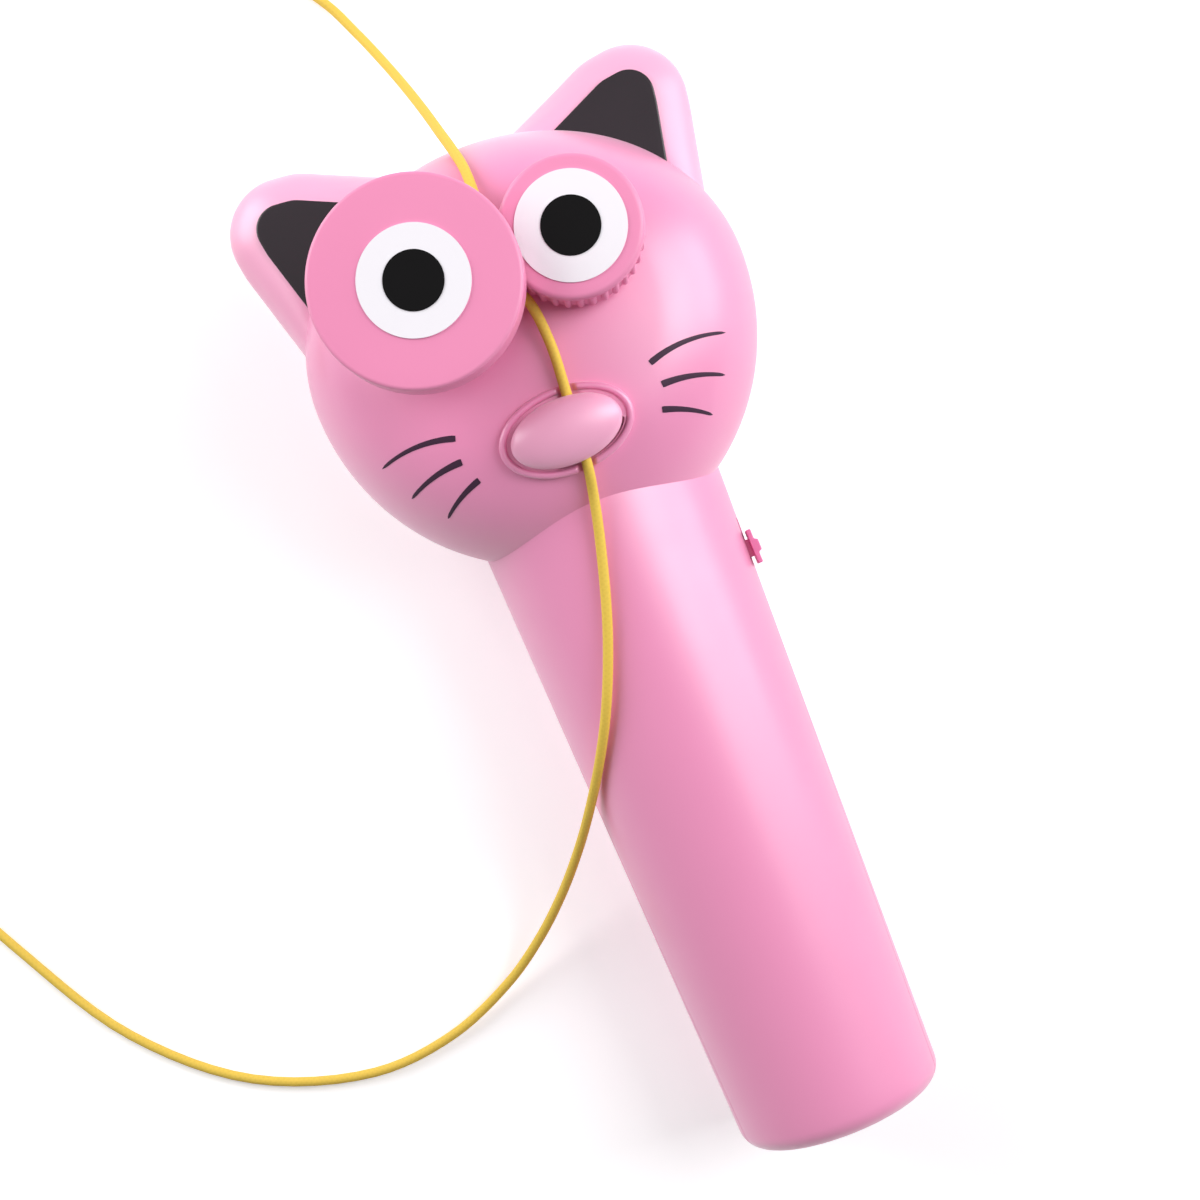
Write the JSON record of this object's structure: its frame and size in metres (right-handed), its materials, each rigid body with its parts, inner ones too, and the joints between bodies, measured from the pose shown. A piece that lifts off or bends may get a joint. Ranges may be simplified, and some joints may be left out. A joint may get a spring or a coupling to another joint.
{
  "type": "rope launcher cat toy",
  "caption": "Hand-held rope launcher shaped like a cat's head on a tapered round handle; the powered eye wheels pinch a loop of rope and throw it over the head.",
  "frame": {"origin": "on the floor under the middle of the toy's box, rope left out, with the toy lying on its back", "axes": "+Z out of the cat's face, +Y from the handle's end to the ears, +X to the side with the switch"},
  "size_m": [0.211, 0.2934, 0.0774],
  "materials": {
    "shell": "satin pink ABS",
    "wheel": "satin deeper pink ABS",
    "knob": "satin dark pink",
    "ear_panel": "glossy black",
    "label": "white printed vinyl",
    "pupil": "black print",
    "screw_steel": "zinc plated",
    "motor_steel": "plated steel",
    "inner_plastic": "natural nylon",
    "contact_brass": "bare",
    "switch_black": "moulded",
    "cell": "sleeved",
    "red_insulation": "PVC",
    "black_insulation": "PVC",
    "rope": "smooth woven cord",
    "tie": "thin strap"
  },
  "bodies": {
    "casing": {"front_shell": "shell", "rear_shell": "shell", "left_ear": "shell", "right_ear": "shell", "nose_guide": "shell", "left_ear_panel": "ear_panel", "right_ear_panel": "ear_panel", "nose_screw": "screw_steel", "shell_screws": "screw_steel", "cradle_screws": "screw_steel", "tray_screws": "screw_steel", "left_motor_can": "motor_steel", "right_motor_can": "motor_steel", "battery_springs": "motor_steel", "left_motor_end_cap": "inner_plastic", "right_motor_end_cap": "inner_plastic", "motor_cradle": "inner_plastic", "battery_tray": "inner_plastic", "motor_terminals": "contact_brass", "battery_contacts": "contact_brass", "switch_body": "switch_black", "battery_cells": "cell", "red_wires": "red_insulation", "black_wires": "black_insulation", "rope_launch_run": "rope", "rope_coil": "rope", "rope_return_run": "rope", "coil_tie": "tie"},
    "large_wheel": {"left_motor_rotor": "motor_steel", "large_roller": "wheel", "large_bush": "contact_brass", "large_wheel_cap": "wheel", "cap_screw": "screw_steel", "large_eye_label": "label", "large_eye_pupil": "pupil"},
    "small_wheel": {"right_motor_rotor": "motor_steel", "small_roller": "wheel", "small_bush": "contact_brass", "small_eye_label": "label", "small_eye_pupil": "pupil"},
    "power_switch": {"switch_knob": "knob"},
    "bay_door": {"battery_door": "shell"}
  },
  "joints": [
    {"name": "large_wheel_spin", "type": "hinge", "parent": "casing", "child": "large_wheel", "pos_m": [-0.0147, 0.06975, 0.06], "axis": [0, 0, 1], "continuous": true},
    {"name": "small_wheel_spin", "type": "hinge", "parent": "casing", "child": "small_wheel", "pos_m": [0.0147, 0.06975, 0.06], "axis": [0, 0, 1], "continuous": true},
    {"name": "power_switch_slide", "type": "slide", "parent": "casing", "child": "power_switch", "axis": [0, 1, 0], "range_m": [0, 0.0045]},
    {"name": "battery_door_slide", "type": "slide", "parent": "casing", "child": "bay_door", "axis": [0, -1, 0], "range_m": [0, 0.07]}
  ],
  "couplings": [
    {"joint": "small_wheel_spin", "follows": "large_wheel_spin", "ratio": -1.0226}
  ]
}
